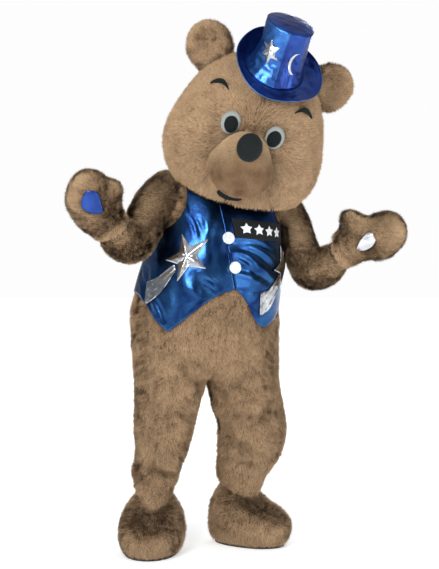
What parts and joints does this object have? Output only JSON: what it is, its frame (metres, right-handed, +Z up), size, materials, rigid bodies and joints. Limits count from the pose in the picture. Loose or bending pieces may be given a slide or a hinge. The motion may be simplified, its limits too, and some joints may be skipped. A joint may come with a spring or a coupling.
{
  "type": "bear mascot costume",
  "caption": "Full bear mascot costume, empty and in a worn pose: hollow fur suit, head, mitts and boots, with a blue lame waistcoat and a small brimmed hat.",
  "frame": {"origin": "between the wearer's shoulders, inside the suit's neck, where the wearer holds the costume up", "axes": "+Z up; the costume faces -Y, its trunk turned a little towards +X; its left arm is on the +X side"},
  "size_m": [1.1832, 0.7195, 1.9054],
  "materials": {
    "fur": "brown plush fur, pile about 12 mm",
    "light_fur": "lighter, shorter plush",
    "blue_lame": "metallic royal blue cloth",
    "silver_lame": "metallic silver cloth",
    "black_felt": "matt felt",
    "white_vinyl": "coated white cloth",
    "eye_white": "pale grey felt",
    "eye_black": "matt felt",
    "nose_black": "matt flocked cloth over a firm ball",
    "button_white": "polished",
    "sole_rubber": "matt"
  },
  "bodies": {
    "root": {"suit_front_right": "fur", "suit_back_right": "fur", "sleeve_right": "fur", "suit_front_left": "fur", "suit_back_left": "fur", "sleeve_left": "fur", "mitt_right": "fur", "mitt_left": "fur", "boot_right": "fur", "sole_right": "sole_rubber", "boot_left": "fur", "sole_left": "sole_rubber", "waistcoat_front_right": "blue_lame", "waistcoat_front_left": "blue_lame", "waistcoat_back": "blue_lame", "face_left": "fur", "face_right": "fur", "head_back_left": "fur", "head_back_right": "fur", "muzzle": "light_fur", "ear_front_right": "fur", "ear_back_right": "fur", "ear_front_left": "fur", "ear_back_left": "fur", "eye_white_right": "eye_white", "eye_pupil_right": "eye_black", "eyebrow_right": "black_felt", "eye_white_left": "eye_white", "eye_pupil_left": "eye_black", "eyebrow_left": "black_felt", "nose": "nose_black", "mouth": "black_felt", "hat_brim": "blue_lame", "hat_crown": "blue_lame", "hat_top": "blue_lame", "hat_star": "silver_lame", "hat_moon": "silver_lame", "comet_front": "silver_lame", "star_front": "silver_lame", "comet_side": "silver_lame", "star_side": "silver_lame", "chest_patch": "black_felt", "chest_star_1": "white_vinyl", "chest_star_2": "white_vinyl", "chest_star_3": "white_vinyl", "chest_star_4": "white_vinyl", "button_1": "button_white", "button_2": "button_white", "paw_pad_right": "blue_lame", "paw_pad_left": "silver_lame"}
  },
  "joints": []
}
